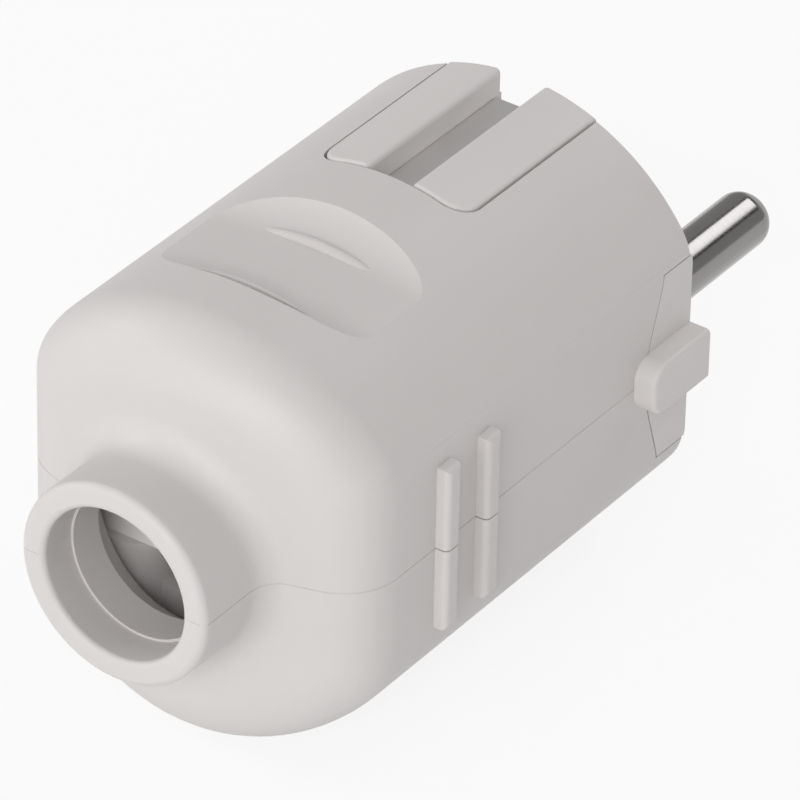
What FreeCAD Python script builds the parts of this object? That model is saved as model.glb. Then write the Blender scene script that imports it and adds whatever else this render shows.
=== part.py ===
import FreeCAD
import Part
import Sketcher
import math
import os
import types

# Rewirable type F mains plug, in millimetres.
# +Y points along the pins, +Z is up, and the origin is the centre of the front face, between the pins.
SIZES = [
    # Housing
    ("body_radius", 18.4, "radius of the round body"),
    ("flat_share", 0.875, "side flats from the middle, as a share of the body's radius"),
    ("front_bevel", 0.25, "bevel of the front rim"),
    ("wall", 2.0, "wall of the housing"),
    ("rear_depth", 45.25, "front face to the middle of the arched rear face"),
    ("rear_sweep", 40.0, "radius of the arched rear face, seen from above"),
    ("rear_round", 5.0, "rounding of the rear edge"),
    ("crease_extra", 0.3, "rounding of the flats' edges beyond that of the rear edge"),
    ("collar_radius", 8.5, "outside of the cord collar"),
    ("collar_end", 52.0, "front face to the end of the collar"),
    ("collar_blend", 2.5, "hollow rounding at the collar's root"),
    ("rim_round", 0.6, "rounding of the collar's outer rim"),
    ("bore_radius", 6.2, "cord entry"),
    ("mouth_radius", 6.4, "wider mouth of the cord entry"),
    ("mouth_depth", 3.4, "length of the wider mouth"),
    ("mouth_round", 0.5, "rounding of the mouth's edge"),
    ("lead_depth", 2.3, "depth of the flare at the cord entry's inner end"),
    ("lead_flare", 1.8, "widening of the cord entry by that flare"),
    ("seam_width", 0.12, "shadow line between the two halves"),
    ("seam_depth", 0.04, "depth of the shadow line"),
    # Finger scoops
    ("scoop_place", 30.0, "front face to the middle of the scoop"),
    ("scoop_depth", 1.75, "depth of the scoop"),
    ("scoop_half", 7.6, "half of the scoop's length before its ends are rounded"),
    ("scoop_round", 5.0, "rounding at the ends of the scoop's floor"),
    ("scoop_sweep", 50.0, "radius of the scoop's floor, seen along the plug"),
    ("scoop_back_half", 10.5, "half width of the thickened wall behind the scoop"),
    ("ridge_place", 30.6, "front face to the middle between the two ridges"),
    ("ridge_offset", 3.9, "ridges from that middle"),
    ("ridge_height", 0.5, "height of a ridge above the floor"),
    ("ridge_tube", 0.5, "radius of a ridge's section"),
    ("ridge_sweep", 17.5, "radius of a ridge's crest"),
    # Grip ribs on the side flats
    ("grip_place", 32.85, "front face to the rear grip rib"),
    ("grip_pitch", 5.15, "distance between grip ribs"),
    ("grip_width", 1.75, "width of a grip rib"),
    ("grip_height", 1.1, "height of a grip rib"),
    ("grip_half", 7.2, "half of a grip rib's length"),
    ("grip_round", 0.5, "rounding of a grip rib"),
    # Pin carrier
    ("carrier_gap", 0.12, "visible gap between the flanks and the housing"),
    ("block_gap", 0.22, "visible gap round the earth blocks"),
    ("carrier_play", 0.1, "play of the carrier inside the housing"),
    ("plate_depth", 6.5, "thickness of the front plate"),
    ("flange_place", 3.4, "front face to the locating flange"),
    ("flange_depth", 1.5, "thickness of the locating flange"),
    ("flange_reach", 0.9, "depth of the flange's groove in the wall"),
    ("block_half", 6.8, "half width of the earth blocks"),
    ("block_length", 17.6, "length of the earth blocks"),
    ("block_height", 7.9, "height of the earth blocks"),
    ("block_corner", 2.0, "rounding of the blocks' rear corners"),
    ("block_proud", 0.1, "blocks above the round body"),
    ("block_round", 0.35, "rounding of the blocks' edges"),
    ("channel_half", 2.0, "half width of the earth channel"),
    ("channel_round", 0.45, "rounding of the channel's top edges"),
    ("channel_depth", 2.3, "body radius to the earth strip"),
    ("vee_half", 8.4, "half height of the flank's V"),
    ("vee_short", 3.8, "depth of the flank's V at its ends"),
    ("vee_long", 6.5, "depth of the flank's V in the middle"),
    ("guide_half", 2.25, "half width of the guide rib"),
    ("guide_height", 1.9, "guide rib above the flat"),
    ("guide_length", 7.5, "length of the guide rib"),
    ("guide_round", 0.4, "rounding of the guide rib's outer edges"),
    ("guide_corner", 1.6, "rounding of the guide rib's rear corners"),
    ("barrier_place", 5.2, "barrier walls from the middle"),
    ("barrier_wall", 1.2, "thickness of a barrier wall"),
    ("barrier_length", 10.0, "barrier walls behind the front plate"),
    # Contact pins
    ("pin_radius", 2.4, "radius of a pin"),
    ("pin_length", 19.0, "pin in front of the front face"),
    ("pin_place", 9.5, "pin from the middle"),
    ("pin_round", 1.8, "rounding of a pin's end"),
    ("root_radius", 2.6, "wider root of a pin, held in the front plate"),
    ("barrel_radius", 2.9, "wire barrel behind the front plate"),
    ("barrel_length", 10.0, "length of the wire barrel"),
    ("wire_radius", 1.5, "wire hole in the barrel"),
    ("wire_depth", 7.0, "depth of the wire hole"),
    ("terminal_place", 4.0, "terminal screw from the barrel's rear end"),
    ("terminal_radius", 1.5, "thread of a terminal screw"),
    ("terminal_lift", 1.4, "terminal screw's head above the barrel"),
    ("terminal_tip", 0.6, "terminal screw's tip above the barrel's axis"),
    ("terminal_head_radius", 2.5, "head of a terminal screw"),
    ("terminal_head", 1.8, "height of a terminal screw's head"),
    # Earth contact
    ("strip_depth", 0.8, "thickness of the earth strip"),
    ("strip_play", 0.05, "play of the strip in its channel"),
    ("strip_setback", 0.8, "front end of the strip behind the front face"),
    ("strip_clear", 0.6, "strip's web behind the earth blocks"),
    ("strip_bend", 1.4, "outer radius of the strip's bends"),
    ("tab_half", 4.5, "half width of the earth tab"),
    ("sleeve_radius", 2.7, "drawn sleeve that holds the earth screw's thread"),
    ("sleeve_length", 1.6, "length of the drawn sleeve"),
    ("earth_radius", 1.75, "thread of the earth screw"),
    ("earth_length", 7.0, "earth screw under its head"),
    ("earth_head_radius", 3.2, "head of the earth screw"),
    ("earth_head", 2.2, "height of the earth screw's head"),
    ("plate_half", 4.0, "half width of the earth clamp plate"),
    ("plate_wall", 1.0, "thickness of the earth clamp plate"),
    ("hole_play", 0.15, "radial play of a screw in a clearance hole"),
    # Cord clamp
    ("clamp_place", 38.9, "front face to the middle of the clamp bar"),
    ("clamp_width", 4.2, "width of the clamp bar"),
    ("clamp_half", 10.4, "half length of the clamp bar"),
    ("clamp_wall", 3.4, "thickness of the clamp bar"),
    ("clamp_drop", 4.6, "underside of the clamp bar below the middle"),
    ("clamp_round", 0.5, "rounding of the clamp bar's top"),
    ("clamp_corner", 1.4, "rounding of the clamp bar's corners"),
    ("clamp_tooth", 0.8, "depth of the clamp bar's gripping tooth"),
    ("clamp_screw_place", 7.4, "clamp screws from the middle"),
    ("clamp_screw_radius", 1.45, "thread of a clamp screw"),
    ("clamp_screw_length", 9.0, "clamp screw under its head"),
    ("clamp_head_radius", 2.7, "head of a clamp screw"),
    ("clamp_head", 1.9, "height of a clamp screw's head"),
    ("post_radius", 3.0, "clamp posts"),
    ("saddle_drop", 8.5, "top of the saddle below the middle"),
    ("saddle_wall", 2.0, "thickness of the saddle"),
    # Housing screw
    ("boss_radius", 5.4, "boss around the housing screw"),
    ("main_radius", 2.0, "thread of the housing screw"),
    ("main_seat", 10.5, "seat of the housing screw's head below the middle"),
    ("main_length", 19.0, "housing screw under its head"),
    ("main_end", 1.7, "housing screw beyond its nut"),
    ("main_head_radius", 3.5, "head of the housing screw"),
    ("main_head", 2.4, "height of the housing screw's head"),
    ("recess_play", 0.3, "radial play of the head in its recess"),
    ("nut_half", 3.5, "half width of the square nut"),
    ("nut_depth", 3.2, "thickness of the square nut"),
    ("nut_play", 0.1, "play of the nut in its slot"),
    # Screw slots
    ("slot_width", 0.9, "width of a screwdriver slot"),
    ("slot_depth", 1.0, "depth of a screwdriver slot"),
    ("crown_share", 0.25, "rounding of a screw's head, as a share of its height"),
]

TINY = 0.01
REACH = 40.0
SCOOP_ANGLE = 40.0
X_AXIS = FreeCAD.Vector(1, 0, 0)
Y_AXIS = FreeCAD.Vector(0, 1, 0)
Z_AXIS = FreeCAD.Vector(0, 0, 1)
ALONG_Y = FreeCAD.Rotation(X_AXIS, -90)
ALONG_MINUS_Y = FreeCAD.Rotation(X_AXIS, 90)
HEAD_DOWN = FreeCAD.Rotation(X_AXIS, 180)
UPRIGHT = FreeCAD.Rotation()

doc = FreeCAD.newDocument("TypeFPlug")
sheet = doc.addObject("Spreadsheet::Sheet", "Sizes")
for row, (alias, number, note) in enumerate(SIZES, start=1):
    sheet.set("A%d" % row, note)
    sheet.set("B%d" % row, str(number))
    sheet.setAlias("B%d" % row, alias)
doc.recompute()


class Size:
    """A length, with the formula on the sheet that gives it."""

    def __init__(self, formula, number):
        self.formula = formula
        self.number = number

    def __add__(self, other):
        other = as_size(other)
        return Size("(%s + %s)" % (self.formula, other.formula), self.number + other.number)

    def __sub__(self, other):
        other = as_size(other)
        return Size("(%s - %s)" % (self.formula, other.formula), self.number - other.number)

    def __mul__(self, other):
        other = as_size(other)
        return Size("(%s * %s)" % (self.formula, other.formula), self.number * other.number)

    def __truediv__(self, other):
        other = as_size(other)
        return Size("(%s / %s)" % (self.formula, other.formula), self.number / other.number)

    def __radd__(self, other):
        return as_size(other) + self

    def __rsub__(self, other):
        return as_size(other) - self

    def __rmul__(self, other):
        return as_size(other) * self

    def __neg__(self):
        return Size("(0 - %s)" % self.formula, -self.number)


def as_size(value):
    """A plain number as a size."""
    return value if isinstance(value, Size) else Size(repr(float(value)), float(value))


def root(value):
    """The square root of a size."""
    return Size("sqrt(%s)" % value.formula, math.sqrt(value.number))


s = types.SimpleNamespace()
for alias, number, note in SIZES:
    setattr(s, alias, Size("Sizes." + alias, float(sheet.get(alias))))
s.flat_half = s.body_radius * s.flat_share
s.crease_round = s.rear_round + s.crease_extra
s.nut_place = s.main_length - s.main_seat - s.main_end - s.nut_depth


# Building blocks


def bind(item, path, value):
    """Ties one property of an item to the sheet."""
    item.setExpression(path, as_size(value).formula)


def place(item, x, y, z, turn=UPRIGHT):
    """Puts an item at a place that follows the sheet."""
    item.Placement.Rotation = turn
    bind(item, "Placement.Base.x", x)
    bind(item, "Placement.Base.y", y)
    bind(item, "Placement.Base.z", z)
    return item


def box(name, low, high):
    """A box between two corners."""
    item = doc.addObject("Part::Box", name)
    for path, start, end in zip(("Length", "Width", "Height"), low, high):
        bind(item, path, as_size(end) - start)
    return place(item, *low)


def rod(name, radius, base, height, turn=UPRIGHT):
    """A cylinder that stands on a base point."""
    item = doc.addObject("Part::Cylinder", name)
    bind(item, "Radius", radius)
    bind(item, "Height", height)
    return place(item, *base, turn=turn)


def cone(name, start, end, base, height, turn=UPRIGHT):
    """A cone that stands on a base point and widens from one radius to another."""
    item = doc.addObject("Part::Cone", name)
    bind(item, "Radius1", start)
    bind(item, "Radius2", end)
    bind(item, "Height", height)
    return place(item, *base, turn=turn)


def fuse(name, *items):
    """Several items as one."""
    item = doc.addObject("Part::MultiFuse", name)
    item.Shapes = list(items)
    return item


def common(name, *items):
    """What several items share."""
    item = doc.addObject("Part::MultiCommon", name)
    item.Shapes = list(items)
    return item


def cut(name, base, *tools):
    """A base without its tools."""
    item = doc.addObject("Part::Cut", name)
    item.Base = base
    item.Tool = tools[0] if len(tools) == 1 else fuse(name + "_tools", *tools)
    return item


def eased(kind, name, base, size, wanted):
    """A base with the wanted edges rounded or bevelled."""
    doc.recompute()
    item = doc.addObject("Part::" + kind, name)
    item.Base = base
    number = as_size(size).number
    item.Edges = [(i, number, number) for i, edge in enumerate(base.Shape.Edges, start=1) if wanted(edge)]
    return item


def rounded(name, base, radius, wanted):
    """A base with the wanted edges rounded."""
    return eased("Fillet", name, base, radius, wanted)


def bevelled(name, base, width, wanted):
    """A base with the wanted edges bevelled."""
    return eased("Chamfer", name, base, width, wanted)


def mirrored(name, source, normal):
    """The mirror image of an item, across the plane through the origin with this normal."""
    item = doc.addObject("Part::Mirroring", name)
    item.Source = source
    item.Normal = normal
    return item


def plane(owner, role):
    """One of a body's origin planes."""
    return next(item for item in owner.Origin.OriginFeatures if item.Role == role)


def new_sketch(owner, name, role):
    """An empty sketch on one of a body's origin planes."""
    sketch = owner.newObject("Sketcher::SketchObject", name)
    sketch.AttachmentSupport = (plane(owner, role), [""])
    sketch.MapMode = "FlatFace"
    return sketch


def polygon(owner, name, role, corners):
    """A straight-sided sketch whose corners follow the sheet."""
    sketch = new_sketch(owner, name, role)
    corners = [(as_size(x), as_size(y)) for x, y in corners]
    points = [FreeCAD.Vector(x.number, y.number, 0) for x, y in corners]
    count = len(points)
    for i in range(count):
        sketch.addGeometry(Part.LineSegment(points[i], points[(i + 1) % count]))
    for i in range(count):
        sketch.addConstraint(Sketcher.Constraint("Coincident", i, 2, (i + 1) % count, 1))
    for i, (x, y) in enumerate(corners):
        for kind, value in (("DistanceX", x), ("DistanceY", y)):
            index = sketch.addConstraint(Sketcher.Constraint(kind, -1, 1, i, 1, value.number))
            bind(sketch, "Constraints[%d]" % index, value)
    return sketch


def flatted_circle(owner, name, radius, half):
    """The body's section: a circle cut by two side flats."""
    sketch = new_sketch(owner, name, "XZ_Plane")
    rise = math.sqrt(radius.number ** 2 - half.number ** 2)
    corner = math.atan2(rise, half.number)
    centre = Part.Circle(FreeCAD.Vector(), FreeCAD.Vector(0, 0, 1), radius.number)
    right = (FreeCAD.Vector(half.number, -rise, 0), FreeCAD.Vector(half.number, rise, 0))
    left = (FreeCAD.Vector(-half.number, rise, 0), FreeCAD.Vector(-half.number, -rise, 0))
    sketch.addGeometry(Part.LineSegment(*right))
    sketch.addGeometry(Part.ArcOfCircle(centre, corner, math.pi - corner))
    sketch.addGeometry(Part.LineSegment(*left))
    sketch.addGeometry(Part.ArcOfCircle(centre, math.pi + corner, 2 * math.pi - corner))
    for i in range(4):
        sketch.addConstraint(Sketcher.Constraint("Coincident", i, 2, (i + 1) % 4, 1))
    for arc in (1, 3):
        sketch.addConstraint(Sketcher.Constraint("Coincident", arc, 3, -1, 1))
    for line, value in ((0, half), (2, -half)):
        sketch.addConstraint(Sketcher.Constraint("Vertical", line))
        index = sketch.addConstraint(Sketcher.Constraint("DistanceX", -1, 1, line, 1, value.number))
        bind(sketch, "Constraints[%d]" % index, value)
    index = sketch.addConstraint(Sketcher.Constraint("Radius", 1, radius.number))
    bind(sketch, "Constraints[%d]" % index, radius)
    return sketch


def pad(owner, name, sketch, length, midplane=False):
    """A sketch drawn out to a length."""
    item = owner.newObject("PartDesign::Pad", name)
    item.Profile = sketch
    item.Midplane = midplane
    bind(item, "Length", length)
    return item


def pocket(owner, name, sketch, length, midplane=False, reverse=False):
    """A sketch cut in to a length."""
    item = owner.newObject("PartDesign::Pocket", name)
    item.Profile = sketch
    item.Midplane = midplane
    item.Reversed = reverse
    bind(item, "Length", length)
    return item


def turned(owner, kind, name, sketch):
    """A sketch turned about its own vertical axis, added or cut away."""
    item = owner.newObject("PartDesign::" + kind, name)
    item.Profile = sketch
    item.ReferenceAxis = (sketch, ["V_Axis"])
    item.Angle = 360.0
    return item


def round_edges(owner, name, radius, wanted):
    """Rounds the wanted edges of a body."""
    doc.recompute()
    base = owner.Tip
    item = owner.newObject("PartDesign::Fillet", name)
    item.Base = (base, ["Edge%d" % i for i, edge in enumerate(base.Shape.Edges, start=1) if wanted(edge)])
    bind(item, "Radius", radius)
    doc.recompute()
    return item


def new_body(name):
    """A body of its own."""
    return doc.addObject("PartDesign::Body", name)


# Tests that pick edges by where they lie


def spots(edge):
    """Points that show where an edge lies: its ends and its middle."""
    middle = edge.valueAt((edge.FirstParameter + edge.LastParameter) / 2)
    return [vertex.Point for vertex in edge.Vertexes] + [middle]


def at_x(edge, x):
    """Whether an edge lies at one place across the plug."""
    return all(abs(spot.x - x.number) < TINY for spot in spots(edge))


def at_y(edge, y):
    """Whether an edge lies at one distance along the plug."""
    return all(abs(spot.y - y.number) < TINY for spot in spots(edge))


def at_z(edge, z):
    """Whether an edge lies at one height."""
    return all(abs(spot.z - z.number) < TINY for spot in spots(edge))


def behind(edge, y):
    """Whether an edge lies behind one distance along the plug."""
    return all(spot.y < y.number for spot in spots(edge))


def round_axis(edge, radius):
    """Whether an edge lies at one radius round the plug's axis."""
    return all(abs(math.hypot(spot.x, spot.z) - radius.number) < TINY for spot in spots(edge))


def runs_along(edge, axis):
    """Whether an edge is straight and parallel to an axis."""
    return isinstance(edge.Curve, Part.Line) and abs(abs(edge.Curve.Direction.dot(axis)) - 1) < TINY


def is_ring(edge, radius):
    """Whether an edge is a circle of this radius."""
    return isinstance(edge.Curve, Part.Circle) and abs(edge.Curve.Radius - radius.number) < TINY


# Housing forms


def prism(name, inset, depth):
    """A length of the body's section, moved inwards by an inset, with the edges of its flats rounded."""
    owner = new_body(name)
    section = flatted_circle(owner, name + "_section", s.body_radius - inset, s.flat_half - inset)
    pad(owner, name + "_pad", section, depth)
    round_edges(owner, name + "_creases", s.crease_round - inset, lambda edge: runs_along(edge, Y_AXIS))
    return owner


def housing_form(name, inset, collar):
    """The outside of the housing, moved inwards by an inset, with or without its collar."""
    sweep = s.rear_sweep - inset
    half = s.flat_half - inset
    arch = rod(name + "_arch", sweep, (0, s.rear_sweep - s.rear_depth, -REACH), 2 * REACH)
    arched = common(name + "_arched", prism(name + "_prism", inset, s.collar_end), arch)
    corner = s.rear_sweep - root(sweep * sweep - half * half) - s.rear_depth
    form = rounded(name, arched, s.rear_round - inset, lambda edge: behind(edge, corner + s.rear_round))
    if collar:
        radius = s.collar_radius - inset
        tube = rod(name + "_tube", radius, (0, inset - s.collar_end, 0), s.collar_end / 2, ALONG_Y)
        joined = fuse(name + "_joined", form, tube)
        form = rounded(
            name + "_collar",
            joined,
            s.collar_blend + inset,
            lambda edge: round_axis(edge, radius)
            and not runs_along(edge, Y_AXIS)
            and not behind(edge, s.rim_round - s.collar_end),
        )
    return form


def scoop_tool():
    """The finger scoop above the plug's axis: a swept trough with rounded ends."""
    floor = s.body_radius - s.scoop_depth
    trough = new_body("scoop_trough")
    corners = [
        (-s.scoop_place - s.scoop_half, s.scoop_sweep),
        (-s.scoop_place + s.scoop_half, s.scoop_sweep),
        (-s.scoop_place + s.scoop_half, s.scoop_sweep + REACH),
        (-s.scoop_place - s.scoop_half, s.scoop_sweep + REACH),
    ]
    outline = polygon(trough, "scoop_outline", "YZ_Plane", corners)
    item = trough.newObject("PartDesign::Revolution", "scoop_sweep_form")
    item.Profile = outline
    item.ReferenceAxis = (outline, ["H_Axis"])
    item.Angle = SCOOP_ANGLE
    item.Midplane = True
    round_edges(trough, "scoop_ends", s.scoop_round, lambda edge: is_ring(edge, s.scoop_sweep))
    return place(trough, 0, 0, floor - s.scoop_sweep)


def scoop_ridges():
    """Two lens-shaped ridges across the scoop: the tops of two rings."""
    floor = s.body_radius - s.scoop_depth
    ridges = []
    for name, side in (("front", 1), ("rear", -1)):
        ring = doc.addObject("Part::Torus", "ridge_ring_" + name)
        bind(ring, "Radius1", s.ridge_sweep - s.ridge_tube)
        bind(ring, "Radius2", s.ridge_tube)
        centre = floor + s.ridge_height - s.ridge_sweep
        place(ring, 0, side * s.ridge_offset - s.ridge_place, centre, turn=ALONG_Y)
        ridges.append(ring)
    low = (-s.scoop_back_half, -s.scoop_place - s.scoop_half, floor - s.wall / 2)
    high = (s.scoop_back_half, -s.scoop_place + s.scoop_half, s.body_radius)
    return common("ridges", fuse("ridge_rings", *ridges), box("ridge_room", low, high))


def grip_ribs():
    """Two upright grip ribs on each side flat."""
    ribs = []
    for name, side in (("right", 1), ("left", -1)):
        for i in range(2):
            middle = i * s.grip_pitch - s.grip_place
            inner = side * (s.flat_half - s.wall / 2)
            outer = side * (s.flat_half + s.grip_height)
            low_x, high_x = (inner, outer) if side > 0 else (outer, inner)
            low = (low_x, middle - s.grip_width / 2, -s.grip_half)
            high = (high_x, middle + s.grip_width / 2, s.grip_half)
            rib = box("grip_%s_%d" % (name, i), low, high)
            ribs.append(rounded("grip_round_%s_%d" % (name, i), rib, s.grip_round, lambda e: at_x(e, outer)))
    return ribs


def block_outline(name, gap, front, top):
    """The earth blocks' outline on top of the plug, grown by a gap, with its rear corners rounded."""
    half = s.block_half + gap
    low = (-half, -s.block_length - gap, s.body_radius - s.block_height)
    rear = -s.block_length - gap
    blank = box(name + "_blank", low, (half, front, top))
    corner = s.block_corner + gap
    return rounded(name, blank, corner, lambda edge: runs_along(edge, Z_AXIS) and at_y(edge, rear))


def flank_outline(name, gap, front):
    """The V-shaped flank seen from the side, drawn through the whole plug and grown by a gap."""
    owner = new_body(name)
    half = s.vee_half + gap
    corners = [
        (front, -half),
        (front, half),
        (-s.vee_short - gap, half),
        (-s.vee_long - gap, 0),
        (-s.vee_short - gap, -half),
    ]
    pad(owner, name + "_prism", polygon(owner, name + "_vee", "YZ_Plane", corners), as_size(2 * REACH), True)
    return owner


def side_space(name, depth):
    """The two spaces at the sides, from the housing's inner faces outwards."""
    inner = s.flat_half - s.wall - depth
    right = box(name + "_right", (inner, -REACH, -REACH), (REACH, REACH, REACH))
    left = box(name + "_left", (-REACH, -REACH, -REACH), (-inner, REACH, REACH))
    return fuse(name, right, left)


def slice_of(name, inset, start, depth):
    """A slice of the housing's section, moved inwards by an inset."""
    return place(prism(name, inset, depth), 0, -start, 0)


# Sub-parts


def make_shells():
    """Upper and lower halves of the housing."""
    plain = housing_form("outer", as_size(0), True)
    rimmed = rounded("outer_rim", plain, s.rim_round, lambda edge: at_y(edge, -s.collar_end))
    outer = bevelled("outer_front", rimmed, s.front_bevel, lambda edge: at_y(edge, as_size(0)))
    core = housing_form("core", s.wall, False)
    bore = rod("bore", s.bore_radius, (0, -s.collar_end, 0), s.collar_end / 2, ALONG_Y)
    mouth = rod("mouth", s.mouth_radius, (0, -s.collar_end, 0), s.mouth_depth, ALONG_Y)
    lead_start = s.wall - s.rear_depth - s.lead_depth
    lead_end = s.bore_radius + 2 * s.lead_flare
    lead = cone("lead", s.bore_radius, lead_end, (0, lead_start, 0), 2 * s.lead_depth, ALONG_Y)
    hollow = cut("hollow", outer, core, bore, mouth, lead)
    open_shell = rounded(
        "open_shell",
        hollow,
        s.mouth_round,
        lambda edge: is_ring(edge, s.mouth_radius) and at_y(edge, -s.collar_end),
    )

    # Inside: thickened walls behind the scoops, the screw boss, the clamp posts and the saddle
    back = s.body_radius - s.scoop_depth - s.wall
    back_low = (-s.scoop_back_half, -s.scoop_place - s.scoop_half, back)
    back_high = (s.scoop_back_half, -s.scoop_place + s.scoop_half, s.body_radius)
    upper_back = box("upper_back", back_low, back_high)
    lower_back = mirrored("lower_back", upper_back, Z_AXIS)
    boss = rod("boss", s.boss_radius, (0, -s.scoop_place, -s.body_radius), 2 * s.body_radius)
    post_height = s.body_radius - s.clamp_drop
    posts = [
        rod(
            "post_%d" % side,
            s.post_radius,
            (side * s.clamp_screw_place, -s.clamp_place, -s.body_radius),
            post_height,
        )
        for side in (1, -1)
    ]
    saddle_low = (-s.clamp_screw_place, -s.clamp_place - s.saddle_wall / 2, -s.body_radius)
    saddle_high = (s.clamp_screw_place, -s.clamp_place + s.saddle_wall / 2, -s.saddle_drop)
    saddle = box("saddle", saddle_low, saddle_high)
    fittings = fuse("fittings", upper_back, lower_back, boss, *posts, saddle)
    inside = common("inside", outer, fittings)

    # Openings for the carrier, the screws and the nut
    upper_slot = block_outline("block_slot", s.block_gap, s.wall, s.body_radius + s.wall)
    lower_slot = mirrored("lower_slot", upper_slot, Z_AXIS)
    vee_opening = flank_outline("vee_opening", s.carrier_gap / 2, s.wall)
    vee_slot = common("vee_slot", vee_opening, side_space("vee_sides", s.wall / 2))
    groove = slice_of("groove", s.wall - s.flange_reach, s.flange_place, s.flange_depth)
    main_bottom = -s.main_seat
    main_hole = rod("main_hole", s.main_radius + s.hole_play, (0, -s.scoop_place, main_bottom), s.main_length)
    recess_radius = s.main_head_radius + s.recess_play
    recess = rod("recess", recess_radius, (0, -s.scoop_place, -s.body_radius), s.body_radius - s.main_seat)
    nut_side = s.nut_half + s.nut_play
    nut_low = (-nut_side, -s.scoop_place - s.boss_radius, s.nut_place)
    nut_high = (nut_side, -s.scoop_place + nut_side, s.nut_place + s.nut_depth + s.nut_play)
    nut_slot = box("nut_slot", nut_low, nut_high)
    pilot_length = s.clamp_screw_length - s.clamp_wall
    pilot_bottom = -s.clamp_drop - pilot_length
    pilots = [
        rod(
            "pilot_%d" % side,
            s.clamp_screw_radius,
            (side * s.clamp_screw_place, -s.clamp_place, pilot_bottom),
            pilot_length,
        )
        for side in (1, -1)
    ]
    upper_scoop = scoop_tool()
    lower_scoop = mirrored("lower_scoop", upper_scoop, Z_AXIS)
    land = housing_form("land", s.seam_depth, True)
    slab_low = (-REACH, -2 * REACH, -s.seam_width / 2)
    slab_high = (REACH, REACH, s.seam_width / 2)
    seam = cut("seam", box("seam_slab", slab_low, slab_high), land)

    ridges = scoop_ridges()
    lower_ridges = mirrored("lower_ridges", ridges, Z_AXIS)
    solid = fuse("solid_shell", open_shell, inside, *grip_ribs())
    scooped = cut("scooped_shell", solid, upper_scoop, lower_scoop, upper_slot, lower_slot, vee_slot, groove)
    ridged = fuse("ridged_shell", scooped, ridges, lower_ridges)
    whole = cut("whole_shell", ridged, main_hole, recess, nut_slot, *pilots, seam)
    upper_room = box("upper_room", (-REACH, -2 * REACH, 0), (REACH, REACH, REACH))
    lower_room = box("lower_room", (-REACH, -2 * REACH, -REACH), (REACH, REACH, 0))
    return {
        "upper_shell": common("upper_shell", whole, upper_room),
        "lower_shell": common("lower_shell", whole, lower_room),
    }


def make_carrier():
    """The insulating front insert that holds the pins and the earth strip."""
    inner = s.wall + s.carrier_play
    plate = slice_of("plate", inner, as_size(0), s.plate_depth)
    flange_inset = s.wall - s.flange_reach + s.carrier_play
    flange = slice_of("flange", flange_inset, s.flange_place, s.flange_depth)

    # Earth blocks with their channel
    top = s.body_radius + s.block_proud
    block = common(
        "block_round",
        block_outline("block_form", as_size(0), as_size(0), top + s.wall),
        rod("block_crown", top, (0, -s.block_length, 0), s.block_length, ALONG_Y),
    )
    floor = s.body_radius - s.channel_depth - s.strip_depth
    channel_low = (-s.channel_half, -s.block_length, floor)
    channel = box("channel", channel_low, (s.channel_half, 0, top + s.wall))
    eased_channel = rounded(
        "eased_channel",
        cut("channelled_block", block, channel),
        s.channel_round,
        lambda edge: round_axis(edge, top) and (at_x(edge, s.channel_half) or at_x(edge, -s.channel_half)),
    )
    channel_edge = s.channel_half + s.channel_round
    upper_block = rounded(
        "upper_block",
        eased_channel,
        s.block_round,
        lambda edge: round_axis(edge, top)
        and not (runs_along(edge, Y_AXIS) and all(abs(spot.x) < channel_edge.number for spot in spots(edge))),
    )
    lower_block = mirrored("lower_block", upper_block, Z_AXIS)

    # Flanks and guide ribs at the sides
    skin = slice_of("skin", as_size(0), as_size(0), s.vee_long)
    vee = flank_outline("vee", -s.carrier_gap / 2, as_size(0))
    flanks = common("flanks", skin, vee, side_space("flank_sides", s.wall))
    guides = []
    for name, side in (("right", 1), ("left", -1)):
        inner_x = side * s.flat_half
        outer_x = side * (s.flat_half + s.guide_height)
        low_x, high_x = (inner_x, outer_x) if side > 0 else (outer_x, inner_x)
        low = (low_x, -s.guide_length, -s.guide_half)
        guide = box("guide_" + name, low, (high_x, 0, s.guide_half))
        tongue = rounded(
            "guide_corner_" + name,
            guide,
            s.guide_corner,
            lambda edge: runs_along(edge, X_AXIS) and at_y(edge, -s.guide_length),
        )
        guides.append(
            rounded(
                "guide_round_" + name,
                tongue,
                s.guide_round,
                lambda edge: at_x(edge, outer_x) and not at_y(edge, as_size(0)),
            )
        )

    # Barrier walls between the terminals
    barriers = []
    barrier_end = -s.plate_depth - s.barrier_length
    foot = s.body_radius - s.block_height + s.block_round
    for name, side in (("right", 1), ("left", -1)):
        middle = side * s.barrier_place
        low = (middle - s.barrier_wall / 2, barrier_end, -foot)
        high = (middle + s.barrier_wall / 2, -s.plate_depth / 2, foot)
        barriers.append(box("barrier_" + name, low, high))

    pieces = (plate, flange, upper_block, lower_block, flanks, *guides, *barriers)
    carrier = fuse("carrier_form", *pieces)
    holes = [
        rod(
            "pin_hole_%d" % side,
            s.root_radius,
            (side * s.pin_place, -s.plate_depth, 0),
            s.plate_depth,
            ALONG_Y,
        )
        for side in (1, -1)
    ]
    low_channel = mirrored("low_channel", channel, Z_AXIS)
    return {"pin_carrier": cut("pin_carrier", carrier, channel, low_channel, *holes)}


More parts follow.
